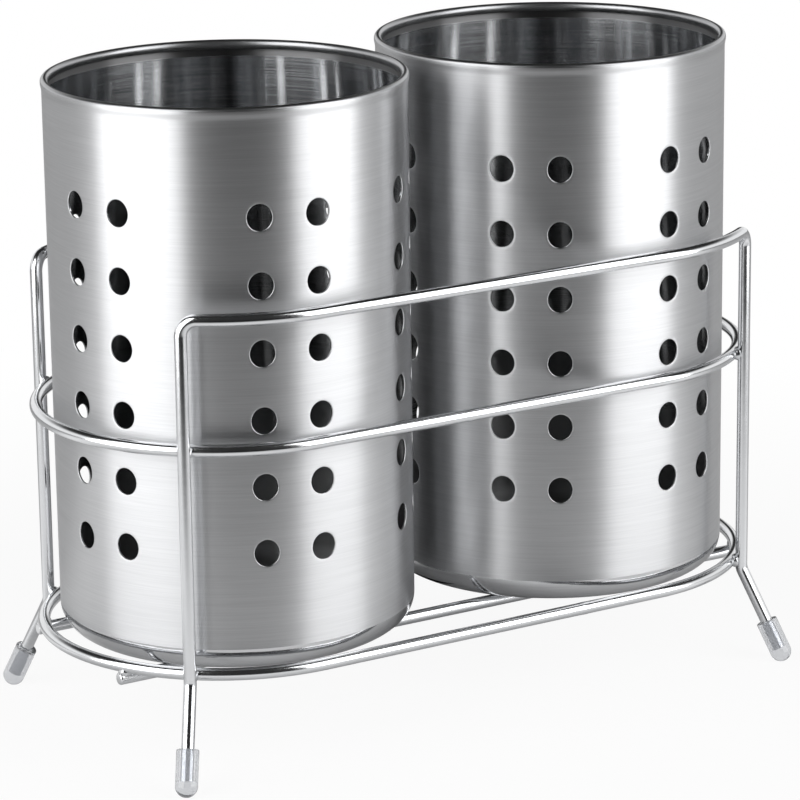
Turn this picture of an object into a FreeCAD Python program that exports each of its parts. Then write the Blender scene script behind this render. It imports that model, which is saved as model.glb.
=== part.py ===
import FreeCAD, Part
import math
import os

# A chopstick holder: two perforated steel cups stand loose in a welded wire rack on four capped feet.
# Sizes in millimetres, angles in degrees. X runs along the row of cups, Y to the back, Z up from the table.

# Cups
CUP_DIAMETER = 100.0
CUP_HEIGHT = 156.0
CUP_WALL = 0.6
CUP_CORNER = 7.0            # outer radius where the wall turns into the base
CUP_GAP = 6.0               # free space between the two cups
LEFT_CUP_TURN = 196.0       # how far each cup happens to be turned in the rack
RIGHT_CUP_TURN = 52.4

# Rim, a hem folded inward
RIM_WIDTH = 2.2
HEM_DEPTH = 2.8             # rim top down to the hem's edge inside the cup
RIM_STEP = 0.3              # the wall steps out this far to meet the fold
RIM_STEP_DROP = 1.4         # rim top down to the upper end of that step
RIM_STEP_HEIGHT = 1.0

# Holes through the wall, in pairs of columns, a little taller than wide
HOLE_WIDTH = 6.9
HOLE_HEIGHT = 7.5
HOLE_ROWS = 6
HOLE_ROW_PITCH = 18.5
HOLE_TOP_ROW = 29.5         # rim top down to the centre of the top row
HOLE_PAIR_SPREAD = 18.8     # angle between the two columns of a pair
HOLE_PAIR_ANGLES = (0.0, 64.3, 122.0, 178.0, 235.5, 295.7)     # the pairs are punched a little unevenly

# Drain holes in the base: one in the middle and a circle around it
DRAIN_DIAMETER = 6.0
DRAIN_CIRCLE = 30.0
DRAIN_COUNT = 6

# Wire rack
WIRE = 3.5                  # diameter of every wire
RING_CLEARANCE = 1.25       # free space between a cup and the rings' straights
END_PLAY = 2.0              # the rings are this much longer at each end than the cups need
LOWER_RING_HEIGHT = 29.2    # centre line above the table
MIDDLE_RING_RISE = 62.8     # lower ring up to middle ring
HOOP_RISE = 36.6            # middle ring up to the hoops' top bars
HOOP_BEND = 4.5             # centre-line radius of the hoops' upper corners
UPRIGHT_ANGLE = 49.5        # where the uprights stand around the rack's round ends, from the X axis
LEG_DROP = 2.0              # lower ring down to the corner where a leg turns outward
LEG_BEND = 5.0
LEG_SPLAY = 27.0            # lean of a leg from the vertical
LEG_HEADING = 54.0          # direction of that lean in plan, from the X axis
BASE_WIRE_SPACING = 49.6
BASE_WIRE_OVERHANG = 2.2    # past the lower ring's centre line
BASE_WIRE_ROUNDING = 0.6

# Welds
WELD_SINK = 0.2             # depth two wires are pressed into each other
WELD_RADIUS = 2.2           # bead of weld metal around a crossing

# Foot caps
CAP_DIAMETER = 6.2
CAP_LENGTH = 13.0
CAP_TIP = 4.3               # solid plastic beyond the end of the wire
CAP_FLAT = 0.25             # height lost where the soft tip is pressed flat on the table

# Heights and plan positions that follow from the sizes above
wire_radius = WIRE / 2
weld_distance = WIRE - WELD_SINK
cup_radius = CUP_DIAMETER / 2
cup_x = (CUP_DIAMETER + CUP_GAP) / 2
ring_x = cup_x + END_PLAY
ring_radius = cup_radius + RING_CLEARANCE + wire_radius
upright_radius = ring_radius + weld_distance
top_bar_radius = math.sqrt(upright_radius ** 2 - HOOP_BEND ** 2)
middle_ring_height = LOWER_RING_HEIGHT + MIDDLE_RING_RISE
top_bar_height = middle_ring_height + HOOP_RISE
base_wire_height = LOWER_RING_HEIGHT - weld_distance
seat_height = base_wire_height + wire_radius
leg_corner_height = LOWER_RING_HEIGHT - LEG_DROP
cap_radius = CAP_DIAMETER / 2
cap_centre_height = cap_radius - CAP_FLAT

CORNERS = {"front_left": (-1, -1), "front_right": (1, -1), "rear_left": (-1, 1), "rear_right": (1, 1)}
UP = FreeCAD.Vector(0, 0, 1)
ORIGIN = FreeCAD.Vector(0, 0, 0)


def vector(x, y, z):
    return FreeCAD.Vector(x, y, z)


def around(centre_x, radius, angle, height):
    """The point at an angle around one of the rack's round ends."""
    turn = math.radians(angle)
    return vector(centre_x + radius * math.cos(turn), radius * math.sin(turn), height)


def line(start, end):
    return Part.makeLine(start, end)


def arc(start, middle, end):
    return Part.Arc(start, middle, end).toShape()


def bend(before, corner, after, radius):
    """The start, the arc and the end of a round bend at a corner between two straights."""
    back = (before - corner).normalize()
    ahead = (after - corner).normalize()
    half_angle = back.getAngle(ahead) / 2
    reach = radius / math.tan(half_angle)
    inset = radius / math.sin(half_angle) - radius
    start = corner + back * reach
    end = corner + ahead * reach
    middle = corner + (back + ahead).normalize() * inset
    return start, arc(start, middle, end), end


def wire_along(edges, start, direction):
    """Round wire along a smooth path."""
    path = Part.Wire(Part.__sortEdges__(edges))
    section = Part.Face(Part.Wire(Part.makeCircle(wire_radius, start, direction)))
    return Part.Solid(path.makePipe(section))


def revolved(edges):
    """A solid of revolution about Z from a closed outline in the XZ plane."""
    outline = Part.Face(Part.Wire(edges))
    return outline.revolve(ORIGIN, UP, 360)


def ring(height):
    """A closed loop of wire: two straights joined by two half circles around the cups."""
    front_left = vector(-ring_x, -ring_radius, height)
    front_right = vector(ring_x, -ring_radius, height)
    rear_right = vector(ring_x, ring_radius, height)
    rear_left = vector(-ring_x, ring_radius, height)
    right_end = vector(ring_x + ring_radius, 0, height)
    left_end = vector(-ring_x - ring_radius, 0, height)
    edges = [
        line(front_left, front_right),
        arc(front_right, right_end, rear_right),
        line(rear_right, rear_left),
        arc(rear_left, left_end, front_left),
    ]
    return wire_along(edges, front_left, vector(1, 0, 0))


def upright_foot(side_x, side_y, height):
    """A point on the axis of one upright."""
    turn = math.radians(UPRIGHT_ANGLE)
    x = ring_x + upright_radius * math.cos(turn)
    y = upright_radius * math.sin(turn)
    return vector(side_x * x, side_y * y, height)


def leg_direction(side_x, side_y):
    """The way one leg points, down and outward."""
    heading = math.radians(LEG_HEADING)
    splay = math.radians(LEG_SPLAY)
    out = math.sin(splay)
    return vector(side_x * out * math.cos(heading), side_y * out * math.sin(heading), -math.cos(splay))


def cap_centre(side_x, side_y):
    """The centre of the round tip of one foot cap, on the axis of its leg."""
    direction = leg_direction(side_x, side_y)
    corner = upright_foot(side_x, side_y, leg_corner_height)
    return corner + direction * ((leg_corner_height - cap_centre_height) / -direction.z)


def leg_end(side_x, side_y):
    """The end of the wire inside one foot cap."""
    return cap_centre(side_x, side_y) - leg_direction(side_x, side_y) * (CAP_TIP - cap_radius)


def half_hoop_path(side_x):
    """The front hoop's path from one foot to where its top bar becomes straight."""
    end = leg_end(side_x, -1)
    leg_corner = upright_foot(side_x, -1, leg_corner_height)
    top_corner = upright_foot(side_x, -1, top_bar_height)
    lead = math.degrees(math.atan2(HOOP_BEND, top_bar_radius))
    join_angle = UPRIGHT_ANGLE + lead
    half_angle = (join_angle + 90) / 2
    join = around(ring_x, top_bar_radius, -join_angle, top_bar_height)
    halfway = around(ring_x, top_bar_radius, -half_angle, top_bar_height)
    straight = around(ring_x, top_bar_radius, -90, top_bar_height)
    for point in (join, halfway, straight):
        point.x *= side_x
    leg_start, leg_bend, leg_top = bend(end, leg_corner, top_corner, LEG_BEND)
    top_start, top_bend, top_join = bend(leg_corner, top_corner, join, HOOP_BEND)
    return [
        line(end, leg_start),
        leg_bend,
        line(leg_top, top_start),
        top_bend,
        arc(top_join, halfway, straight),
    ], straight


def front_hoop(rings):
    """One wire from foot to foot, saddled where the rings are pressed into its uprights."""
    left_edges, left_straight = half_hoop_path(-1)
    right_edges, right_straight = half_hoop_path(1)
    edges = left_edges + [line(left_straight, right_straight)] + right_edges
    hoop = wire_along(edges, leg_end(-1, -1), leg_direction(-1, -1))
    return hoop.cut(rings)


def base_wire(side_y, lower_ring):
    """A straight wire under the lower ring, saddled where the ring is pressed into it."""
    y = BASE_WIRE_SPACING / 2
    half_length = ring_x + math.sqrt(ring_radius ** 2 - y ** 2) + BASE_WIRE_OVERHANG
    start = vector(-half_length, side_y * y, base_wire_height)
    bar = Part.makeCylinder(wire_radius, 2 * half_length, start, vector(1, 0, 0))
    ends = [edge for edge in bar.Edges if isinstance(edge.Curve, Part.Circle)]
    return bar.makeFillet(BASE_WIRE_ROUNDING, ends).cut(lower_ring)


def weld_bead(centre, wires):
    """Weld metal in the crevice around one crossing of two wires."""
    return Part.makeSphere(WELD_RADIUS, centre).cut(wires)


def ring_welds(height, wires):
    """The beads between one ring and the four uprights."""
    contact_radius = ring_radius + weld_distance / 2
    contact = around(ring_x, contact_radius, UPRIGHT_ANGLE, height)
    beads = []
    for side_x, side_y in CORNERS.values():
        beads.append(weld_bead(vector(side_x * contact.x, side_y * contact.y, height), wires))
    return Part.makeCompound(beads)


def base_wire_welds(wires):
    """The beads between the base wires and the lower ring."""
    y = BASE_WIRE_SPACING / 2
    x = ring_x + math.sqrt(ring_radius ** 2 - y ** 2)
    height = LOWER_RING_HEIGHT - weld_distance / 2
    beads = []
    for side_x, side_y in CORNERS.values():
        beads.append(weld_bead(vector(side_x * x, side_y * y, height), wires))
    return Part.makeCompound(beads)


def foot_cap(side_x, side_y):
    """A plastic sleeve with a round closed end, pushed onto a leg and pressed flat on the table."""
    mouth = CAP_LENGTH - cap_radius
    floor = CAP_TIP - cap_radius
    tip = vector(0, 0, -cap_radius)
    tip_side = vector(cap_radius * math.sqrt(0.5), 0, -cap_radius * math.sqrt(0.5))
    shoulder = vector(cap_radius, 0, 0)
    outer_mouth = vector(cap_radius, 0, mouth)
    inner_mouth = vector(wire_radius, 0, mouth)
    inner_floor = vector(wire_radius, 0, floor)
    floor_centre = vector(0, 0, floor)
    cap = revolved([
        arc(tip, tip_side, shoulder),
        line(shoulder, outer_mouth),
        line(outer_mouth, inner_mouth),
        line(inner_mouth, inner_floor),
        line(inner_floor, floor_centre),
        line(floor_centre, tip),
    ])
    turn = FreeCAD.Rotation(UP, leg_direction(side_x, side_y) * -1)
    cap.Placement = FreeCAD.Placement(cap_centre(side_x, side_y), turn)
    below = cap_centre(side_x, side_y) - vector(CAP_LENGTH, CAP_LENGTH, CAP_LENGTH)
    below.z = -CAP_LENGTH
    table = Part.makeBox(2 * CAP_LENGTH, 2 * CAP_LENGTH, CAP_LENGTH, below)
    return cap.cut(table)


def cup_shell():
    """The drawn cup without holes: flat base, round corner, wall and folded rim."""
    inner_radius = cup_radius - CUP_WALL
    corner_x = cup_radius - CUP_CORNER
    slant = math.sqrt(0.5)
    corner_inner = CUP_CORNER - CUP_WALL
    hem_edge = CUP_HEIGHT - HEM_DEPTH
    step_top = CUP_HEIGHT - RIM_STEP_DROP
    step_bottom = step_top - RIM_STEP_HEIGHT
    fold = RIM_WIDTH / 2
    fold_inner = fold - CUP_WALL
    fold_height = CUP_HEIGHT - fold
    rim_outer = cup_radius + RIM_STEP
    rim_inner = rim_outer - RIM_WIDTH
    fold_x = rim_outer - fold
    base_edge = vector(corner_x, 0, 0)
    corner_middle = vector(corner_x + CUP_CORNER * slant, 0, CUP_CORNER - CUP_CORNER * slant)
    inner_corner_middle = vector(corner_x + corner_inner * slant, 0, CUP_CORNER - corner_inner * slant)
    inner_base_edge = vector(corner_x, 0, CUP_WALL)
    wall_foot = vector(cup_radius, 0, CUP_CORNER)
    inner_wall_foot = vector(inner_radius, 0, CUP_CORNER)
    outside = [
        wall_foot,
        vector(cup_radius, 0, step_bottom),
        vector(rim_outer, 0, step_top),
        vector(rim_outer, 0, fold_height),
    ]
    hem = [
        vector(rim_inner, 0, fold_height),
        vector(rim_inner, 0, hem_edge),
        vector(rim_inner + CUP_WALL, 0, hem_edge),
        vector(rim_inner + CUP_WALL, 0, fold_height),
    ]
    inside = [
        vector(rim_outer - CUP_WALL, 0, fold_height),
        vector(rim_outer - CUP_WALL, 0, step_top),
        vector(inner_radius, 0, step_bottom),
        inner_wall_foot,
    ]
    edges = [line(ORIGIN, base_edge), arc(base_edge, corner_middle, wall_foot)]
    edges += [line(start, end) for start, end in zip(outside, outside[1:])]
    edges.append(arc(outside[-1], vector(fold_x, 0, CUP_HEIGHT), hem[0]))
    edges += [line(start, end) for start, end in zip(hem, hem[1:])]
    edges.append(arc(hem[-1], vector(fold_x, 0, fold_height + fold_inner), inside[0]))
    edges += [line(start, end) for start, end in zip(inside, inside[1:])]
    edges.append(arc(inner_wall_foot, inner_corner_middle, inner_base_edge))
    edges.append(line(inner_base_edge, vector(0, 0, CUP_WALL)))
    edges.append(line(vector(0, 0, CUP_WALL), ORIGIN))
    return revolved(edges)


def wall_hole_cutter(angle, height):
    """A short oval bar through the wall, pointing outward."""
    turn = math.radians(angle)
    outward = vector(math.cos(turn), math.sin(turn), 0)
    sideways = vector(-math.sin(turn), math.cos(turn), 0)
    centre = outward * (cup_radius - HOLE_WIDTH / 2) + UP * height
    oval = Part.Ellipse(centre + UP * (HOLE_HEIGHT / 2), centre + sideways * (HOLE_WIDTH / 2), centre)
    return Part.Face(Part.Wire(oval.toShape())).extrude(outward * HOLE_WIDTH)


def hole_cutters():
    """Every hole of a cup: the paired columns in the wall and the drain holes in the base."""
    cutters = []
    for pair_angle in HOLE_PAIR_ANGLES:
        for side in (-0.5, 0.5):
            angle = pair_angle + side * HOLE_PAIR_SPREAD
            for row in range(HOLE_ROWS):
                cutters.append(wall_hole_cutter(angle, CUP_HEIGHT - HOLE_TOP_ROW - row * HOLE_ROW_PITCH))
    drain_places = [ORIGIN]
    for drain in range(DRAIN_COUNT):
        drain_places.append(around(0, DRAIN_CIRCLE / 2, drain * 360 / DRAIN_COUNT, 0))
    for place in drain_places:
        cutters.append(Part.makeCylinder(DRAIN_DIAMETER / 2, 3 * CUP_WALL, place - UP * CUP_WALL))
    return Part.makeCompound(cutters)


def placed_cup(cup, x, turn):
    """A cup standing on the base wires, turned in the rack."""
    copy = cup.copy()
    copy.Placement = FreeCAD.Placement(vector(x, 0, seat_height), FreeCAD.Rotation(UP, turn))
    return copy


def build_parts():
    """Every piece of the holder by name."""
    lower_ring = ring(LOWER_RING_HEIGHT)
    middle_ring = ring(middle_ring_height)
    front = front_hoop([lower_ring, middle_ring])
    rear = front.copy()
    rear.rotate(ORIGIN, UP, 180)
    front_bar = base_wire(-1, lower_ring)
    rear_bar = base_wire(1, lower_ring)
    cup = cup_shell().cut(hole_cutters())
    parts = {
        "lower_ring": lower_ring,
        "middle_ring": middle_ring,
        "front_hoop": front,
        "rear_hoop": rear,
        "front_base_wire": front_bar,
        "rear_base_wire": rear_bar,
        "lower_ring_welds": ring_welds(LOWER_RING_HEIGHT, [lower_ring, front, rear]),
        "middle_ring_welds": ring_welds(middle_ring_height, [middle_ring, front, rear]),
        "base_wire_welds": base_wire_welds([lower_ring, front_bar, rear_bar]),
        "left_cup": placed_cup(cup, -cup_x, LEFT_CUP_TURN),
        "right_cup": placed_cup(cup, cup_x, RIGHT_CUP_TURN),
    }
    for name, (side_x, side_y) in CORNERS.items():
        parts[name + "_cap"] = foot_cap(side_x, side_y)
    return parts


os.makedirs("parts", exist_ok=True)
for name, shape in build_parts().items():
    shape.exportStep(os.path.join("parts", name + ".step"))
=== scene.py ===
import math

import bmesh
import bpy
import numpy as np
from mathutils import Matrix


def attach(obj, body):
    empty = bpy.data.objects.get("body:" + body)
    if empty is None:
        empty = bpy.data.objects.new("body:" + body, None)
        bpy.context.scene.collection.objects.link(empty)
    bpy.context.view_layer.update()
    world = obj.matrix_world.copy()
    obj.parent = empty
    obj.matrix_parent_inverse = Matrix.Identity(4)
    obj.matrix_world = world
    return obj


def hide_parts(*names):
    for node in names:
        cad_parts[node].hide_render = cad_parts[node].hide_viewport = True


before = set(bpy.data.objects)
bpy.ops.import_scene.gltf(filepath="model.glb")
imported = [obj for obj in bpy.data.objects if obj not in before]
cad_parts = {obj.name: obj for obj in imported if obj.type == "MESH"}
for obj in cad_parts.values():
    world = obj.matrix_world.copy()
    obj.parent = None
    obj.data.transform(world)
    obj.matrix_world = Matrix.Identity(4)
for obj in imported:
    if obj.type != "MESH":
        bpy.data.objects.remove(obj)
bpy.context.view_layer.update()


# Rings: two closed loops of drawn steel wire, each bent to a long shape with round ends, butt-welded on
# a straight and bright chrome plated. The cups stand inside them. Sizes here and below are millimetres.
MM = 0.001
WIRE_RADIUS = 1.75
WIRE_SIDES = 40
ROUND_END_X = 55.0
RING_RADIUS = 53.0
RING_HEIGHTS = {"lower_ring": 29.2, "middle_ring": 92.0}
BUTT_WELD_X = {"lower_ring": 29.0, "middle_ring": -8.0}
BUTT_WELD_SWELL = 0.035
BUTT_WELD_REACH = 1.1
CHROME_COLOUR = (0.80, 0.81, 0.825, 1)


def unit(vectors):
    """Each vector divided by its length."""
    return vectors / np.linalg.norm(vectors, axis=-1, keepdims=True)


def arc_points(centre_x, radius, start, end, height, count):
    """Points around a round end: the centre plus the radius times cosine and sine of even angles."""
    turn = np.radians(np.linspace(start, end, count))
    return np.stack(
        [centre_x + radius * np.cos(turn), radius * np.sin(turn), np.full(count, height)], axis=1)


def straight_points(start, end, count):
    """Even steps along a straight, without its two ends: start plus a share of the way to the end."""
    share = np.linspace(0, 1, count + 2)[1:-1, None]
    return start + (end - start) * share


def plan_outward(path):
    """The direction in plan to each point from the rack's middle line, which joins the two round ends."""
    reach = path[:, 0] - np.clip(path[:, 0], -ROUND_END_X, ROUND_END_X)
    return unit(np.stack([reach, path[:, 1], np.zeros(len(path))], axis=1))


def wire_surface(path, outward, radius, closed):
    """A circle carried along a path: path + radius * (cos a * side + sin a * over) at each station.
    Side is the outward direction squared off against the run of the path, over is their cross product."""
    ahead = unit(np.roll(path, -1, axis=0) - path)
    if not closed:
        ahead[-1] = ahead[-2]
    behind = np.roll(ahead, 1, axis=0)
    if not closed:
        behind[0] = ahead[0]
    run = unit(ahead + behind)
    side = unit(outward - np.sum(outward * run, axis=1, keepdims=True) * run)
    over = np.cross(run, side)
    angle = np.linspace(0, 2 * math.pi, WIRE_SIDES, endpoint=False)[None, :, None]
    spokes = np.cos(angle) * side[:, None] + np.sin(angle) * over[:, None]
    return path[:, None] + np.reshape(radius, (-1, 1, 1)) * spokes


def grid_faces(rows, columns, wrap_rows, wrap_columns):
    """The four corners of every cell of a grid of points, carried round where the grid wraps."""
    index = np.arange(rows * columns).reshape(rows, columns)
    if wrap_rows:
        index = np.vstack([index, index[:1]])
    if wrap_columns:
        index = np.hstack([index, index[:, :1]])
    corners = [index[:-1, :-1], index[1:, :-1], index[1:, 1:], index[:-1, 1:]]
    return np.stack(corners, axis=-1).reshape(-1, 4)


def make_piece(name, surfaces, materials, crease=40):
    """One mesh from grids of points in millimetres: (points, wraps in rows, wraps in columns, material).
    Seams and poles close where points meet, faces turn outward, edges over the crease angle stay sharp."""
    points, faces, finish = [], [], []
    count = 0
    for grid, wrap_rows, wrap_columns, material in surfaces:
        cells = grid_faces(*grid.shape[:2], wrap_rows, wrap_columns)
        points.append(grid.reshape(-1, 3) * MM)
        faces.append(cells + count)
        finish.append(np.full(len(cells), material))
        count += points[-1].shape[0]
    mesh = bpy.data.meshes.new(name)
    mesh.from_pydata(np.concatenate(points).tolist(), [], np.concatenate(faces).tolist())
    mesh.polygons.foreach_set("material_index", np.concatenate(finish).astype(np.int32))
    for material in materials:
        mesh.materials.append(material)
    shell = bmesh.new()
    shell.from_mesh(mesh)
    bmesh.ops.remove_doubles(shell, verts=shell.verts, dist=1e-7)
    bmesh.ops.recalc_face_normals(shell, faces=shell.faces)
    shell.to_mesh(mesh)
    shell.free()
    mesh.shade_smooth()
    mesh.set_sharp_from_angle(angle=math.radians(crease))
    piece = bpy.data.objects.new(name, mesh)
    bpy.context.scene.collection.objects.link(piece)
    return piece


class Shade:
    """One value in a material's nodes. Arithmetic on it adds Math nodes, so patterns read as formulas."""

    def __init__(self, tree, socket=None):
        self.tree = tree
        self.socket = socket

    def node(self, kind, settings, sockets, output=0):
        """A new node of that kind: its settings first, then a value or a link for each socket."""
        made = self.tree.nodes.new(kind)
        for name, value in settings.items():
            setattr(made, name, value)
        for name, value in sockets.items():
            self.join(value, made.inputs[name])
        return Shade(self.tree, made.outputs[output])

    def join(self, value, target):
        """Links a shade to a socket, or sets a plain value on it."""
        if isinstance(value, Shade):
            self.tree.links.new(value.socket, target)
        else:
            target.default_value = value

    def math(self, operation, first, second):
        """A Math node on two shades or plain values."""
        return self.node("ShaderNodeMath", {"operation": operation}, {0: first, 1: second})

    def fade(self, low, high):
        """0 at low, 1 at high, smooth in between."""
        return self.node("ShaderNodeMapRange", {"interpolation_type": "SMOOTHSTEP"},
                         {"Value": self, "From Min": low, "From Max": high})

    def blend(self, low_colour, high_colour):
        """The first colour where this value is 0, the second where it is 1."""
        sockets = {0: self, 6: low_colour, 7: high_colour}
        return self.node("ShaderNodeMix", {"data_type": "RGBA"}, sockets, 2)

    def __add__(self, other):
        return self.math("ADD", self, other)

    def __rsub__(self, other):
        return self.math("SUBTRACT", other, self)

    def __mul__(self, other):
        return self.math("MULTIPLY", self, other)

    __radd__ = __add__
    __rmul__ = __mul__


def new_finish(name, **constants):
    """A new material with its shader's constant sockets set: (material, shader, start for its shades)."""
    material = bpy.data.materials.new(name)
    material.use_nodes = True
    shader = material.node_tree.nodes["Principled BSDF"]
    for socket, value in constants.items():
        shader.inputs[socket.replace("_", " ")].default_value = value
    return material, shader, Shade(material.node_tree)


def chrome_finish(name, colour, smoothest, haze, ripple):
    """Bright plating: metal whose roughness drifts in soft clouds, over the faint ripple of drawn wire."""
    material, shader, start = new_finish(name, Metallic=1.0)
    place = start.node("ShaderNodeTexCoord", {}, {}, "Object")
    clouds = start.node("ShaderNodeTexNoise", {}, {"Vector": place, "Scale": 160.0, "Detail": 3.0})
    swells = start.node("ShaderNodeTexNoise", {}, {"Vector": place, "Scale": 420.0, "Detail": 2.0})
    dull = tuple(0.9 * part for part in colour[:3]) + (1,)
    start.join(clouds.blend(dull, colour), shader.inputs["Base Color"])
    start.join(smoothest + haze * clouds, shader.inputs["Roughness"])
    bumps = start.node("ShaderNodeBump", {}, {"Height": swells, "Strength": ripple, "Distance": 0.0004})
    start.join(bumps, shader.inputs["Normal"])
    return material


chrome = chrome_finish("chrome_plate", CHROME_COLOUR, smoothest=0.12, haze=0.08, ripple=0.03)

for ring_name, ring_height in RING_HEIGHTS.items():
    right_end = arc_points(ROUND_END_X, RING_RADIUS, -90, 90, ring_height, 73)
    left_end = arc_points(-ROUND_END_X, RING_RADIUS, 90, 270, ring_height, 73)
    rear_straight = straight_points(right_end[-1], left_end[0], 12)
    front_straight = straight_points(left_end[-1], right_end[0], 160)
    ring_path = np.concatenate([right_end, rear_straight, left_end, front_straight])
    from_weld = np.hypot(ring_path[:, 0] - BUTT_WELD_X[ring_name], ring_path[:, 1] + RING_RADIUS)
    ring_radius = WIRE_RADIUS * (1 + BUTT_WELD_SWELL * np.exp(-(from_weld / BUTT_WELD_REACH) ** 2))
    ring_grid = wire_surface(ring_path, plan_outward(ring_path), ring_radius, closed=True)
    ring = make_piece(ring_name + "_wire", [(ring_grid, True, True, 0)], [chrome])
    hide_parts(ring_name)
    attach(ring, "rack")


# Hoops: one wire each at the front and the back, bent to a foot, an upright, a top bar around the cups and
# down to the other foot. Same chrome-plated wire as the rings, welded to the outside of both.
UPRIGHT_RADIUS = 56.3
UPRIGHT_ANGLE = 49.5
TOP_BAR_HEIGHT = 128.6
TOP_BEND = 4.5
TOP_BAR_RADIUS = math.sqrt(UPRIGHT_RADIUS ** 2 - TOP_BEND ** 2)
LEG_CORNER_HEIGHT = 27.2
LEG_BEND = 5.0
LEG_SPLAY = 27.0
LEG_HEADING = 54.0
CAP_CENTRE_HEIGHT = 2.85
WIRE_END_ABOVE_CAP_CENTRE = 1.2


def round_bend(before, corner, after, radius, count):
    """An arc in place of a corner. Its centre is on the bisector, radius / sin(half the corner's angle)
    away, and the spokes to its two tangent points are blended by the sines of their shares of the sweep."""
    back = unit(before - corner)
    ahead = unit(after - corner)
    half = math.acos(back @ ahead) / 2
    centre = corner + unit(back + ahead) * radius / math.sin(half)
    first = corner + back * radius / math.tan(half) - centre
    last = corner + ahead * radius / math.tan(half) - centre
    sweep = math.pi - 2 * half
    share = np.linspace(0, 1, count)[:, None]
    return centre + (np.sin((1 - share) * sweep) * first + np.sin(share * sweep) * last) / math.sin(sweep)


splay = math.radians(LEG_SPLAY)
heading = math.radians(LEG_HEADING)
upright_turn = math.radians(UPRIGHT_ANGLE)
leg_run = np.array([
    math.sin(splay) * math.cos(heading), -math.sin(splay) * math.sin(heading), -math.cos(splay)])
upright_x = ROUND_END_X + UPRIGHT_RADIUS * math.cos(upright_turn)
upright_y = -UPRIGHT_RADIUS * math.sin(upright_turn)
leg_corner = np.array([upright_x, upright_y, LEG_CORNER_HEIGHT])
top_corner = np.array([upright_x, upright_y, TOP_BAR_HEIGHT])
cap_centre = leg_corner + leg_run * (LEG_CORNER_HEIGHT - CAP_CENTRE_HEIGHT) / math.cos(splay)
wire_end = cap_centre - leg_run * WIRE_END_ABOVE_CAP_CENTRE
join_angle = UPRIGHT_ANGLE + math.degrees(math.atan2(TOP_BEND, TOP_BAR_RADIUS))
top_arc = arc_points(ROUND_END_X, TOP_BAR_RADIUS, -join_angle, -90, TOP_BAR_HEIGHT, 25)
leg_bend = round_bend(wire_end, leg_corner, top_corner, LEG_BEND, 13)
top_bend = round_bend(leg_corner, top_corner, top_arc[0], TOP_BEND, 25)
half_hoop = np.concatenate([
    wire_end[None],
    straight_points(wire_end, leg_bend[0], 4),
    leg_bend,
    straight_points(leg_bend[-1], top_bend[0], 16),
    top_bend,
    top_arc[1:],
    straight_points(top_arc[-1], top_arc[-1] * (-1, 1, 1), 17)[:9],
])
hoop_path = np.concatenate([half_hoop, half_hoop[-2::-1] * (-1, 1, 1)])
hoop_tube = wire_surface(hoop_path, plan_outward(hoop_path), WIRE_RADIUS, closed=False)
hoop_ends = [np.broadcast_to(hoop_path[end], (1, WIRE_SIDES, 3)) for end in (0, -1)]
hoop_grid = np.concatenate([hoop_ends[0], hoop_tube, hoop_ends[1]])

for hoop_name, signs in (("front_hoop", (1, 1, 1)), ("rear_hoop", (-1, -1, 1))):
    hoop = make_piece(hoop_name + "_wire", [(hoop_grid * signs, False, True, 0)], [chrome])
    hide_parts(hoop_name)
    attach(hoop, "rack")


# Base wires: two straight chrome-plated wires with tumbled ends, welded under the lower ring.
# The cups' flat bases stand on them.
BASE_WIRE_HALF_LENGTH = 104.04
BASE_WIRE_ROUNDING = 0.6
BASE_WIRE_Y = 24.8
BASE_WIRE_HEIGHT = 25.9


def turned_surface(profile, sides):
    """A profile turned about Z: radius times (cosine, sine) of even angles, at the profile's heights."""
    angle = np.linspace(0, 2 * math.pi, sides, endpoint=False)
    radius, height = profile.T
    return np.stack([
        np.outer(radius, np.cos(angle)),
        np.outer(radius, np.sin(angle)),
        np.outer(height, np.ones(sides)),
    ], axis=-1)


def quarter_round(centre, radius, start, end, count):
    """Points of a profile on an arc: the centre plus the radius times cosine and sine."""
    turn = np.radians(np.linspace(start, end, count))
    return np.array(centre) + radius * np.stack([np.cos(turn), np.sin(turn)], axis=1)


end_centre = (WIRE_RADIUS - BASE_WIRE_ROUNDING, BASE_WIRE_HALF_LENGTH - BASE_WIRE_ROUNDING)
end_round = quarter_round(end_centre, BASE_WIRE_ROUNDING, 0, 90, 6)
half_profile = np.concatenate([end_round, [[0, BASE_WIRE_HALF_LENGTH]]])
base_wire_profile = np.concatenate([half_profile[::-1] * (1, -1), half_profile])
base_wire_grid = turned_surface(base_wire_profile, WIRE_SIDES)[..., [2, 0, 1]]

for base_wire_name, side in (("front_base_wire", -1), ("rear_base_wire", 1)):
    grid = base_wire_grid + (0, side * BASE_WIRE_Y, BASE_WIRE_HEIGHT)
    base_wire = make_piece(base_wire_name + "_bar", [(grid, False, True, 0)], [chrome])
    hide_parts(base_wire_name)
    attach(base_wire, "rack")


# Welds: beads of steel squeezed out where two wires were spot-welded, plated over with the rest of the
# rack. Four join each ring to the uprights and four join the base wires to the lower ring.
WELD_RADIUS = 2.2
WELD_LUMPS = 0.09
CONTACT_RADIUS = 54.65
BASE_CONTACT = (101.84, 24.8, 27.55)
WELD_COLOUR = (0.70, 0.71, 0.725, 1)

weld_plate = chrome_finish("plated_weld", WELD_COLOUR, smoothest=0.12, haze=0.2, ripple=0.5)


def weld_bead(centre, seed):
    """A lumpy ball: waves along and around it swell the radius, with phases that differ between beads."""
    rise = np.linspace(-math.pi / 2, math.pi / 2, 21)[:, None]
    turn = np.linspace(0, 2 * math.pi, 32, endpoint=False)[None]
    broad = np.sin(3 * turn + 2.1 * seed) * np.cos(2 * rise + seed)
    narrow = np.sin(5 * turn + seed) * np.sin(3 * rise)
    radius = WELD_RADIUS * (1 - WELD_LUMPS + 0.5 * WELD_LUMPS * (broad + narrow) * np.cos(rise))
    girth = radius * np.cos(rise)
    return np.stack([girth * np.cos(turn), girth * np.sin(turn), radius * np.sin(rise)], axis=-1) + centre


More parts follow.
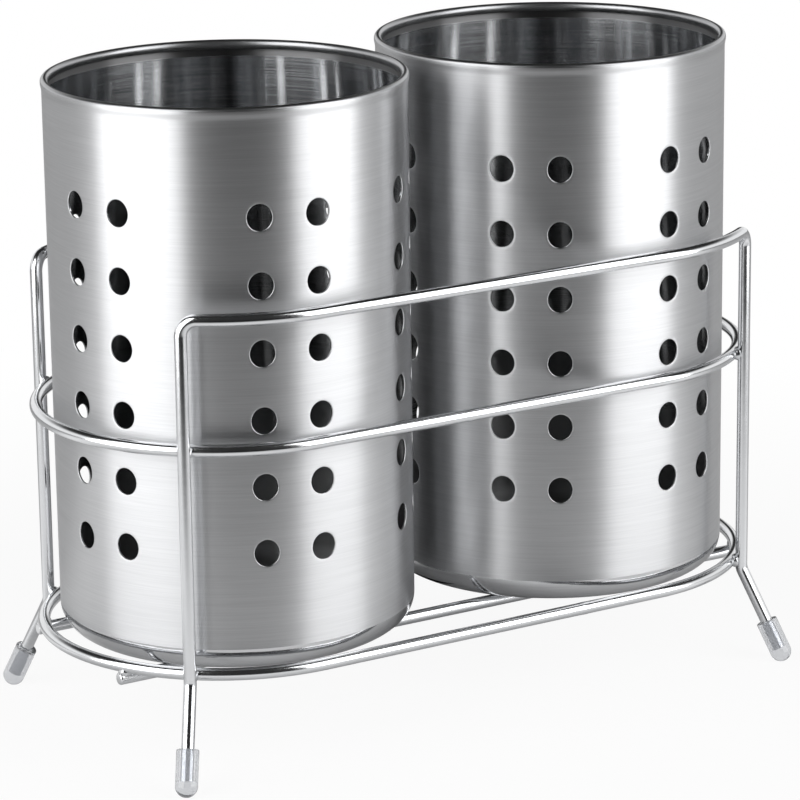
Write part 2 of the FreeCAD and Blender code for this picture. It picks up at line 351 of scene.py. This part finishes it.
contact_x = ROUND_END_X + CONTACT_RADIUS * math.cos(upright_turn)
contact_y = CONTACT_RADIUS * math.sin(upright_turn)
weld_places = {ring_name: (contact_x, contact_y, height) for ring_name, height in RING_HEIGHTS.items()}
weld_places["base_wire"] = BASE_CONTACT

for group, (weld_joint, place) in enumerate(weld_places.items()):
    beads = []
    for corner, signs in enumerate([(-1, -1, 1), (1, -1, 1), (-1, 1, 1), (1, 1, 1)]):
        beads.append((weld_bead(np.array(place) * signs, 4 * group + corner), False, True, 0))
    welds = make_piece(weld_joint + "_weld_beads", beads, [weld_plate])
    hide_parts(weld_joint + "_welds")
    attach(welds, "rack")


# Foot caps: soft clear plastic sleeves with a round closed end, pushed onto the four legs so that the rack
# does not scratch the table. Moulded, slightly frosted, and pressed a little flat where they stand.
CAP_RADIUS = 3.1
CAP_BORE = 1.80
CAP_MOUTH = 9.9
CAP_FLOOR = 1.15
CAP_LIP = 0.35
CAP_BORE_LIP = 0.15
CAP_STEPS = (2.0, 4.5, 7.0)
CAP_BORE_STEP = 6.0
CAP_COLOURS = ((0.58, 0.59, 0.61, 1), (0.70, 0.71, 0.73, 1))

cap_plastic, cap_shader, start = new_finish(
    "frosted_clear_plastic", IOR=1.46, Transmission_Weight=0.9, Specular_IOR_Level=0.5)
place = start.node("ShaderNodeTexCoord", {}, {}, "Object")
frost = start.node("ShaderNodeTexNoise", {}, {"Vector": place, "Scale": 900.0, "Detail": 4.0})
milk = start.node("ShaderNodeTexNoise", {}, {"Vector": place, "Scale": 180.0, "Detail": 2.0})
start.join(milk.blend(*CAP_COLOURS), cap_shader.inputs["Base Color"])
start.join(0.04 + 0.08 * frost, cap_shader.inputs["Roughness"])
pits = start.node("ShaderNodeBump", {}, {"Height": frost, "Strength": 0.07, "Distance": 0.0002})
start.join(pits, cap_shader.inputs["Normal"])

cap_profile = np.concatenate([
    quarter_round((0, 0), CAP_RADIUS, -90, 0, 19),
    [[CAP_RADIUS, up] for up in CAP_STEPS],
    quarter_round((CAP_RADIUS - CAP_LIP, CAP_MOUTH - CAP_LIP), CAP_LIP, 0, 90, 6),
    quarter_round((CAP_BORE + CAP_BORE_LIP, CAP_MOUTH - CAP_BORE_LIP), CAP_BORE_LIP, 90, 180, 4),
    [[CAP_BORE, CAP_BORE_STEP], [CAP_BORE, CAP_FLOOR], [0, CAP_FLOOR]],
])
cap_turned = turned_surface(cap_profile, 48)
up_leg = -leg_run
across = unit(np.cross((0, 0, 1), up_leg))
cap_axes = np.stack([across, np.cross(up_leg, across), up_leg])
front_right_cap = cap_turned @ cap_axes + cap_centre
front_right_cap[..., 2] = np.maximum(front_right_cap[..., 2], 0)

for cap_name, signs in (("front_left", (-1, 1, 1)), ("front_right", (1, 1, 1)),
                        ("rear_left", (-1, -1, 1)), ("rear_right", (1, -1, 1))):
    cap = make_piece(cap_name + "_foot_cap", [(front_right_cap * signs, False, True, 0)], [cap_plastic])
    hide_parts(cap_name + "_cap")
    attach(cap, "rack")


# Cups: two deep-drawn stainless steel cups with a hem curled inward at the rim, pairs of punched holes in
# the wall and drain holes in the base. Brushed around the outside, satin at the rim, smoother at the base
# corner and polished inside, satin low down. Painted shade darkens the rim's colour, the inside wall below
# the mouth and, together with scuff marks, a band under the hem. They lift out.
CUP_X = {"left_cup": -53.0, "right_cup": 53.0}
CUP_TURN = {"left_cup": 196.0, "right_cup": 52.4}
SEAT_HEIGHT = 27.65
CUP_RADIUS = 50.0
CUP_WALL = 0.6
CUP_CORNER = 7.0
HOLE_OVAL = np.array([3.45, 3.75])
HOLE_ROWS = 34.0 + 18.5 * np.arange(6)
HOLE_COLUMN = 9.4
PAIR_ANGLES = np.array([0.0, 64.3, 122.0, 178.0, 235.5, 295.7])
PATCH_HALF_HEIGHT = 9.25
PATCH_STEPS = 8
STRIP_STEPS = 10
OUTER_ROWS = 9
HOLE_EDGE = 0.22
HOLE_BURR = 0.06
DRAIN_RADIUS = 3.0
DRAIN_CIRCLE_RADIUS = 15.0
DRAIN_PATCH = (9.0, 21.0)
RIM_FOLD = np.array([49.2, 154.9])
RIM_ROUND = 1.1
RIM_STEP = 0.3
RIM_STEP_START = 152.5
RIM_STEP_HEIGHT = 2.2
CURL_CENTRE = np.array([49.2, 154.55])
CURL_OVAL = np.array([1.1, 1.45])
HEM_TIP = (48.55, 153.5)
HEM_TIP_ROUND = 0.15
HEM_BEND = [[49.7, 154.6], [49.55, 154.1]]
BASE_STEPS = (30.0, 38.0)
FOOT_STEPS = (9.0, 12.0, 18.0)
NECK_STEPS = (141.0, 147.0)
SHOULDER_HEIGHT = 151.8
HEM_STEPS = (153.6, 153.3, 152.9, 151.2)
SCUFF_AND_HEM_SHADE_HEIGHTS = (151.4, 151.7)
RIM_SATIN_AND_SHADE_HEIGHTS = (72.35, 122.35)
DEEP_SHADE_HEIGHTS = (100.0, 126.0)
SATIN_HEIGHTS = (15.0, 60.0)
BRUSHED_COLOURS = ((0.58, 0.585, 0.595, 1), (0.66, 0.665, 0.675, 1))
CORNER_COLOURS = ((0.54, 0.545, 0.555, 1), (0.66, 0.665, 0.675, 1))
RIM_SHADE_COLOURS = ((0.34, 0.345, 0.355, 1), (0.48, 0.485, 0.495, 1))
POLISHED_COLOURS = ((0.52, 0.53, 0.545, 1), (0.66, 0.67, 0.685, 1))
DEEP_SHADE_COLOURS = ((0.27, 0.275, 0.28, 1), (0.42, 0.425, 0.43, 1))
SCUFF_AND_HEM_SHADE_COLOUR = (0.30, 0.30, 0.305, 1)
BRUSHED, INSIDE, EDGE = 0, 1, 2


def above_seat(heights):
    """Heights above a cup's base as metres above the table, which is what the cups' materials read."""
    return [(SEAT_HEIGHT + height) * MM for height in heights]


brushed_steel, brushed_shader, start = new_finish(
    "brushed_steel", Metallic=1.0, Anisotropic=0.85, Anisotropic_Rotation=0.25)
place = start.node("ShaderNodeTexCoord", {}, {}, "Object")
hairs = start.node("ShaderNodeMapping", {}, {"Vector": place, "Scale": (60.0, 60.0, 4200.0)})
scores = start.node("ShaderNodeMapping", {}, {"Vector": place, "Scale": (30.0, 30.0, 1500.0)})
hair_lines = start.node("ShaderNodeTexNoise", {}, {"Vector": hairs, "Scale": 1.0, "Detail": 3.0})
score_lines = start.node("ShaderNodeTexNoise", {}, {"Vector": scores, "Scale": 1.0, "Detail": 2.0})
grain = 0.6 * hair_lines + 0.4 * score_lines
start.join(grain.fade(0.25, 0.75).blend(*BRUSHED_COLOURS), brushed_shader.inputs["Base Color"])
start.join(0.36 + 0.1 * grain, brushed_shader.inputs["Roughness"])
grooves = start.node("ShaderNodeBump", {}, {"Height": grain, "Strength": 0.06, "Distance": 0.0002})
start.join(grooves, brushed_shader.inputs["Normal"])

edge_steel, edge_shader, start = new_finish("pressed_edge_steel", Metallic=1.0)
place = start.node("ShaderNodeTexCoord", {}, {}, "Object")
die = start.node("ShaderNodeMapping", {}, {"Vector": place, "Scale": (60.0, 60.0, 2500.0)})
die_marks = start.node("ShaderNodeTexNoise", {}, {"Vector": die, "Scale": 1.0, "Detail": 3.0})
height = start.node("ShaderNodeSeparateXYZ", {}, {"Vector": place}, "Z")
# Painted shade: from these heights up the rim takes darker colours than the base corner. It is also rougher
# there, which is its satin finish.
at_rim = height.fade(*above_seat(RIM_SATIN_AND_SHADE_HEIGHTS))
corner_steel = die_marks.blend(*CORNER_COLOURS)
shaded_rim_steel = die_marks.blend(*RIM_SHADE_COLOURS)
start.join(at_rim.blend(corner_steel, shaded_rim_steel), edge_shader.inputs["Base Color"])
start.join(0.06 + 0.12 * die_marks + 0.18 * at_rim, edge_shader.inputs["Roughness"])
marks = start.node("ShaderNodeBump", {}, {"Height": die_marks, "Strength": 0.08, "Distance": 0.0002})
start.join(marks, edge_shader.inputs["Normal"])

inside_steel, inside_shader, start = new_finish(
    "drawn_steel_inside", Metallic=1.0, Anisotropic=1.0, Anisotropic_Rotation=0.25)
place = start.node("ShaderNodeTexCoord", {}, {}, "Object")
height = start.node("ShaderNodeSeparateXYZ", {}, {"Vector": place}, "Z")
rub = start.node("ShaderNodeMapping", {}, {"Vector": place, "Scale": (40.0, 40.0, 2600.0)})
rub_lines = start.node("ShaderNodeTexNoise", {}, {"Vector": rub, "Scale": 1.0, "Detail": 3.0})
nicks = start.node("ShaderNodeTexNoise", {}, {"Vector": place, "Scale": 700.0, "Detail": 2.0})
# Scuffs and painted shade: the band just under the hem takes a dark colour. Part of it is scuff marks,
# which have a ragged lower edge and are rougher, and part is painted shade under the hem.
scuffed_and_hem_shaded = (height + 0.0005 * nicks).fade(*above_seat(SCUFF_AND_HEM_SHADE_HEIGHTS))
# Painted shade: below the mouth the inside wall takes darker colours, standing in for the shade deep in the
# cup. It is darkest at mid-depth and less dark at the satin bottom.
near_rim = height.fade(*above_seat(DEEP_SHADE_HEIGHTS))
satin = 1 - height.fade(*above_seat(SATIN_HEIGHTS))
polished = rub_lines.fade(0.3, 0.7).blend(*POLISHED_COLOURS)
inside_with_deep_shade = near_rim.blend(satin.blend(*DEEP_SHADE_COLOURS), polished)
start.join(scuffed_and_hem_shaded.blend(inside_with_deep_shade, SCUFF_AND_HEM_SHADE_COLOUR), inside_shader.inputs["Base Color"])
start.join(0.09 + 0.12 * rub_lines + 0.30 * scuffed_and_hem_shaded + 0.22 * satin, inside_shader.inputs["Roughness"])
rubs = start.node("ShaderNodeBump", {}, {"Height": rub_lines, "Strength": 0.09, "Distance": 0.0002})
start.join(rubs, inside_shader.inputs["Normal"])


def box_loop(across_steps, up_steps):
    """A closed loop around a patch from its steps across and up: bottom, right side, top, left side."""
    bottom = np.stack([across_steps[:-1], np.full(len(across_steps) - 1, up_steps[0])], axis=1)
    right = np.stack([np.full(len(up_steps) - 1, across_steps[-1]), up_steps[:-1]], axis=1)
    top = np.stack([across_steps[:0:-1], np.full(len(across_steps) - 1, up_steps[-1])], axis=1)
    left = np.stack([np.full(len(up_steps) - 1, across_steps[0]), up_steps[:0:-1]], axis=1)
    return np.concatenate([bottom, right, top, left])


def pierced_patch(loop, oval):
    """Rows of points (across, up, depth) from a patch's outer loop to the hole in its middle, over the
    hole's rounded edge, through the wall and back to the loop inside. Each row starts from the oval on the
    same bearing, grown by a little, and goes a share of the way to the loop."""
    bend = np.radians(np.linspace(0, 90, 5))
    edge_grow = HOLE_EDGE * (1 - np.sin(bend))
    edge_depth = HOLE_EDGE * (1 - np.cos(bend))
    share = np.concatenate([[1, 0.66, 0.36, 0.12], np.zeros(7), [0.12, 0.5, 1]])
    grow = np.concatenate([np.full(4, HOLE_EDGE), edge_grow, [0, HOLE_BURR], np.full(3, HOLE_BURR)])
    depth = np.concatenate([np.zeros(4), edge_depth, [CUP_WALL - HOLE_BURR], np.full(4, CUP_WALL)])
    bearing = np.arctan2(loop[:, 1] * oval[0], loop[:, 0] * oval[1])
    around = np.stack([np.cos(bearing), np.sin(bearing)], axis=1)
    hole = (oval + grow[:, None, None]) * around
    flat = hole + share[:, None, None] * (loop - hole)
    return np.concatenate([flat, np.broadcast_to(depth[:, None, None], flat.shape[:2] + (1,))], axis=2)


def skins(patch, outer_finish):
    """A pierced patch as two grids: the outer face with the hole's edge, the inside with its wall."""
    return [(patch[:OUTER_ROWS], False, True, outer_finish), (patch[OUTER_ROWS - 1:], False, True, INSIDE)]


def on_wall(patch, angle, height):
    """Wraps a flat patch onto the wall: across becomes an angle, depth goes inward."""
    turn = np.radians(angle) + patch[..., 0] / CUP_RADIUS
    radius = CUP_RADIUS - patch[..., 2]
    return np.stack([radius * np.cos(turn), radius * np.sin(turn), height + patch[..., 1]], axis=-1)


def drain_patch(angles, hole_angle):
    """A sector of the base between two radii with one drain hole: (x, y, height above the underside)."""
    loop = box_loop(angles, np.linspace(*DRAIN_PATCH, 7))
    turn = np.radians(loop[:, 0])
    plan = loop[:, 1:] * np.stack([np.cos(turn), np.sin(turn)], axis=1)
    hole_turn = math.radians(hole_angle)
    hole = np.array([math.cos(hole_turn), math.sin(hole_turn)]) * DRAIN_CIRCLE_RADIUS
    return pierced_patch(plan - hole, np.array([DRAIN_RADIUS, DRAIN_RADIUS])) + (*hole, 0)


def swept(profile, angles):
    """A profile of (radius, height) turned about Z through the given angles in degrees."""
    turn = np.radians(angles)
    radius, height = np.asarray(profile, float).T
    return np.stack([
        np.outer(radius, np.cos(turn)),
        np.outer(radius, np.sin(turn)),
        np.outer(height, np.ones(len(turn))),
    ], axis=-1)


pair_reach = 2 * HOLE_COLUMN
next_pairs = np.append(PAIR_ANGLES[1:], 360.0)
pair_angles = PAIR_ANGLES[:, None] + np.linspace(-pair_reach, pair_reach, 2 * PATCH_STEPS + 1)
strip_angles = np.linspace(PAIR_ANGLES + pair_reach, next_pairs - pair_reach, STRIP_STEPS + 1, axis=1)
all_angles = np.hstack([pair_angles[:, :-1], strip_angles[:, :-1]]).ravel()
sector_angles = np.roll(all_angles, STRIP_STEPS // 2).reshape(len(PAIR_ANGLES), -1)
sector_angles = np.hstack([sector_angles, np.roll(sector_angles[:, :1], -1, axis=0)])

wall_bottom = HOLE_ROWS[0] - PATCH_HALF_HEIGHT
wall_top = HOLE_ROWS[-1] + PATCH_HALF_HEIGHT
inner_radius = CUP_RADIUS - CUP_WALL
corner_centre = (CUP_RADIUS - CUP_CORNER, CUP_CORNER)
base_radii = (DRAIN_PATCH[1], *BASE_STEPS)
corner_profile = np.concatenate([
    [[radius, 0] for radius in base_radii],
    quarter_round(corner_centre, CUP_CORNER, -90, 0, 19),
])
foot_profile = [[CUP_RADIUS, up] for up in (CUP_CORNER, *FOOT_STEPS, wall_bottom)]
inside_foot_profile = np.concatenate([
    [[radius, CUP_WALL] for radius in base_radii],
    quarter_round(corner_centre, CUP_CORNER - CUP_WALL, -90, 0, 15),
    [[inner_radius, up] for up in (*FOOT_STEPS, wall_bottom)],
])

rise = np.linspace(0, 1, 9)
step_radius = CUP_RADIUS + RIM_STEP * rise ** 2 * (3 - 2 * rise)
shoulder_profile = np.concatenate([
    [[CUP_RADIUS, up] for up in (wall_top, *NECK_STEPS, SHOULDER_HEIGHT)],
    np.stack([step_radius, RIM_STEP_START + RIM_STEP_HEIGHT * rise], axis=1),
    quarter_round(RIM_FOLD, RIM_ROUND, 0, 8, 3),
])
rim_profile = np.concatenate([
    quarter_round(RIM_FOLD, RIM_ROUND, 8, 90, 15)[:-1],
    quarter_round(CURL_CENTRE, CURL_OVAL, 90, 222, 25),
    quarter_round(HEM_TIP, HEM_TIP_ROUND, 214, 360, 7),
])
hem_profile = np.concatenate([
    rim_profile[-1:],
    quarter_round(RIM_FOLD, RIM_ROUND - CUP_WALL, 180, 0, 9),
    HEM_BEND,
    [[inner_radius, up] for up in (*HEM_STEPS, *NECK_STEPS[::-1], wall_top)],
])
middle_hole_bend = quarter_round((DRAIN_RADIUS + HOLE_EDGE, HOLE_EDGE), HOLE_EDGE, -90, -180, 5)
drain_middle_profile = np.concatenate([[[DRAIN_PATCH[0], 0], [6, 0]], middle_hole_bend])
drain_inside_profile = np.concatenate([
    middle_hole_bend[-1:], [[DRAIN_RADIUS, CUP_WALL], [6, CUP_WALL], [DRAIN_PATCH[0], CUP_WALL]]])

patch_across = np.radians(np.linspace(-HOLE_COLUMN, HOLE_COLUMN, PATCH_STEPS + 1)) * CUP_RADIUS
patch_up = np.linspace(-PATCH_HALF_HEIGHT, PATCH_HALF_HEIGHT, PATCH_STEPS + 1)
wall_patch = pierced_patch(box_loop(patch_across, patch_up), HOLE_OVAL)
strip_heights = np.linspace(wall_bottom, wall_top, len(HOLE_ROWS) * PATCH_STEPS + 1)

cup_surfaces = [
    (swept(corner_profile, all_angles), False, True, EDGE),
    (swept(foot_profile, all_angles), False, True, BRUSHED),
    (swept(inside_foot_profile, all_angles), False, True, INSIDE),
    (swept(shoulder_profile, all_angles), False, True, BRUSHED),
    (swept(rim_profile, all_angles), False, True, EDGE),
    (swept(hem_profile, all_angles), False, True, INSIDE),
    (swept(drain_middle_profile, all_angles), False, True, EDGE),
    (swept(drain_inside_profile, all_angles), False, True, INSIDE),
]
for pair, (pair_angle, strip, sector) in enumerate(zip(PAIR_ANGLES, strip_angles, sector_angles)):
    for radius, finish in ((CUP_RADIUS, BRUSHED), (inner_radius, INSIDE)):
        strip_profile = np.stack([np.full(len(strip_heights), radius), strip_heights], axis=1)
        cup_surfaces.append((swept(strip_profile, strip), False, False, finish))
    for column in (-HOLE_COLUMN, HOLE_COLUMN):
        for row in HOLE_ROWS:
            cup_surfaces += skins(on_wall(wall_patch, pair_angle + column, row), BRUSHED)
    cup_surfaces += skins(drain_patch(sector, pair * 360 / len(PAIR_ANGLES)), EDGE)

for cup_name, cup_x in CUP_X.items():
    turn = np.radians(CUP_TURN[cup_name])
    turned = np.array([[np.cos(turn), np.sin(turn), 0], [-np.sin(turn), np.cos(turn), 0], [0, 0, 1]])
    surfaces = [(grid @ turned + (cup_x, 0, SEAT_HEIGHT), *how) for grid, *how in cup_surfaces]
    cup = make_piece(cup_name + "_steel", surfaces, [brushed_steel, inside_steel, edge_steel])
    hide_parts(cup_name)
    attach(cup, cup_name)


# Camera: a long lens at the photograph's place, a little above the rims and to the left of the front.
# Turn, rise, roll, distance and lens were fitted to the photograph. Distances from here on are metres.
CAMERA_AZIMUTH = -31.054
CAMERA_ELEVATION = 15.778
CAMERA_ROLL = -0.759
CAMERA_DISTANCE = 1.1034
CAMERA_TARGET = np.array([0.0, 0.0, 0.08246])
CAMERA_LENS = 173.37
CAMERA_SENSOR = 36.0
CAMERA_SHIFT = 0.00533
CAMERA_CLIP = 0.05

azimuth = math.radians(CAMERA_AZIMUTH)
elevation = math.radians(CAMERA_ELEVATION)
roll = math.radians(CAMERA_ROLL)
toward = np.array([math.sin(azimuth), -math.cos(azimuth), 0.0])
back = toward * math.cos(elevation) + np.array([0, 0, math.sin(elevation)])
level = np.array([math.cos(azimuth), math.sin(azimuth), 0.0])
upward = np.cross(back, level)
right = math.cos(roll) * level + math.sin(roll) * upward
top = math.cos(roll) * upward - math.sin(roll) * level
camera_data = bpy.data.cameras.new("camera")
camera_data.lens = CAMERA_LENS
camera_data.sensor_width = CAMERA_SENSOR
camera_data.shift_x = CAMERA_SHIFT
camera_data.clip_start = CAMERA_CLIP
camera = bpy.data.objects.new("camera", camera_data)
camera_place = CAMERA_TARGET + back * CAMERA_DISTANCE
camera_axes = np.stack([right, top, back], axis=1)
camera_rows = np.column_stack([camera_axes, camera_place])
camera.matrix_world = Matrix([*camera_rows.tolist(), [0, 0, 0, 1]])
bpy.context.scene.collection.objects.link(camera)
bpy.context.scene.camera = camera


# Studio: a pale sheet, and white all around to the eye, through the caps and, to both sides, in the metal,
# which also shows a dim room in front, overhead and behind, and two tall soft boxes as upright bands.
# Pairs of numbers are where a fade begins and ends, in metres or as cosines from the camera's bearing.
SHEET_COLOUR = (0.62, 0.62, 0.625, 1)
SHEET_TO_CAMERA = (0.96, 0.96, 0.96, 1)
ROOM_FLOOR = (0.02, 0.02, 0.02, 1)
ROOM_DARK = (0.025, 0.025, 0.025, 1)
WHITE = (1, 1, 1, 1)
SHARE_TO_EYE = 0.93
SHARE_NEAR = 0.74
SHARE_BESIDE = 0.30
SHARE_THROUGH = 0.9
SHADOW_END = (0.12, 0.40)
SHEET_END = (0.22, 0.40)
UNDER_RACK = (0.03, 0.13)
NEAR_END = (0.08, 0.48)
NEAR_BACK = (-0.10, 0.02)
BEHIND = (-0.998, -0.975)
BESIDE_END = (0.0, 0.4)
OVERHEAD = (0.32, 0.62)
ROW_SCALE = (0.5, 1.0, 1.0)
SHEET_REACH = 6.0
SOFT_BOXES = {"left_box": (-53.0, 0.52, 2.8), "right_box": (61.0, 0.45, 2.8)}
BOX_DISTANCE = 0.55
BOX_HEIGHT = 0.82
BOX_MIDDLE = 0.40

sheet_steps = np.linspace(-SHEET_REACH, SHEET_REACH, 5) / MM
sheet_grid = np.stack(np.meshgrid(sheet_steps, sheet_steps, [0.0]), axis=-1)[:, :, 0]
sheet_paper = bpy.data.materials.new("pale_sheet")
sheet_paper.use_nodes = True
sheet_nodes = sheet_paper.node_tree.nodes
sheet_nodes.remove(sheet_nodes["Principled BSDF"])
start = Shade(sheet_paper.node_tree)
place = start.node("ShaderNodeTexCoord", {}, {}, "Object")
along_row = start.node("ShaderNodeMapping", {}, {"Vector": place, "Scale": ROW_SCALE})
dot = {"operation": "DOT_PRODUCT"}
length = {"operation": "LENGTH"}
forward = start.node("ShaderNodeVectorMath", dot, {0: place, 1: tuple(toward)}, "Value")
distance = start.node("ShaderNodeVectorMath", length, {0: place}, "Value")
from_row = start.node("ShaderNodeVectorMath", length, {0: along_row}, "Value")
bearing = start.math("DIVIDE", forward, distance)
eye = start.node("ShaderNodeLightPath", {}, {}, "Is Camera Ray")
mirrored = start.node("ShaderNodeLightPath", {}, {}, "Is Glossy Ray")
through = start.node("ShaderNodeLightPath", {}, {}, "Is Transmission Ray")
not_behind = bearing.fade(*BEHIND)
sheet = not_behind * (1 - forward.fade(*SHEET_END))
near = (1 - from_row.fade(*NEAR_END)) * forward.fade(*NEAR_BACK)
beside = not_behind * (1 - bearing.fade(*BESIDE_END))
in_metal = from_row.fade(*UNDER_RACK) * (SHARE_NEAR * near + SHARE_BESIDE * beside)
to_eye = SHARE_TO_EYE + (1 - SHARE_TO_EYE) * distance.fade(*SHADOW_END)
white_share = eye * to_eye + in_metal * mirrored + SHARE_THROUGH * through
paper_colour = eye.blend(sheet.blend(ROOM_FLOOR, SHEET_COLOUR), SHEET_TO_CAMERA)
paper = start.node("ShaderNodeBsdfDiffuse", {}, {"Color": paper_colour})
white = start.node("ShaderNodeEmission", {}, {"Color": WHITE, "Strength": 1.0})
seen = start.node("ShaderNodeMixShader", {}, {0: white_share, 1: paper, 2: white})
start.join(seen, sheet_nodes["Material Output"].inputs["Surface"])
floor = make_piece("floor", [(sheet_grid, False, False, 0)], [sheet_paper])

for box_name, (box_bearing, width, brightness) in SOFT_BOXES.items():
    lamp = bpy.data.lights.new(box_name, "AREA")
    lamp.shape = "RECTANGLE"
    lamp.size = width
    lamp.size_y = BOX_HEIGHT
    lamp.energy = brightness * math.pi * width * BOX_HEIGHT
    turn = math.radians(CAMERA_AZIMUTH + box_bearing)
    facing = np.array([math.sin(turn), -math.cos(turn), 0.0])
    along = np.array([math.cos(turn), math.sin(turn), 0.0])
    box_place = facing * BOX_DISTANCE + np.array([0, 0, BOX_MIDDLE])
    box_axes = np.stack([along, (0, 0, 1), facing], axis=1)
    box = bpy.data.objects.new(box_name, lamp)
    box_rows = np.column_stack([box_axes, box_place])
    box.matrix_world = Matrix([*box_rows.tolist(), [0, 0, 0, 1]])
    box.visible_camera = False
    bpy.context.scene.collection.objects.link(box)

world = bpy.data.worlds.new("studio")
world.use_nodes = True
bpy.context.scene.world = world
start = Shade(world.node_tree)
direction = start.node("ShaderNodeTexCoord", {}, {}, "Generated")
in_plan = start.node("ShaderNodeVectorMath", {"operation": "MULTIPLY"}, {0: direction, 1: (1, 1, 0)})
compass = start.node("ShaderNodeVectorMath", {"operation": "NORMALIZE"}, {0: in_plan})
ahead = start.node("ShaderNodeVectorMath", dot, {0: compass, 1: tuple(toward)}, "Value")
overhead = start.node("ShaderNodeSeparateXYZ", {}, {"Vector": direction}, "Z")
eye = start.node("ShaderNodeLightPath", {}, {}, "Is Camera Ray")
mirrored = start.node("ShaderNodeLightPath", {}, {}, "Is Glossy Ray")
through = start.node("ShaderNodeLightPath", {}, {}, "Is Transmission Ray")
sides = ahead.fade(*BEHIND) * (1 - ahead.fade(*BESIDE_END)) * (1 - overhead.fade(*OVERHEAD))
white_share = eye + through + sides * mirrored
start.join(white_share.blend(ROOM_DARK, WHITE), world.node_tree.nodes["Background"].inputs["Color"])

bpy.context.scene.view_settings.view_transform = "Standard"
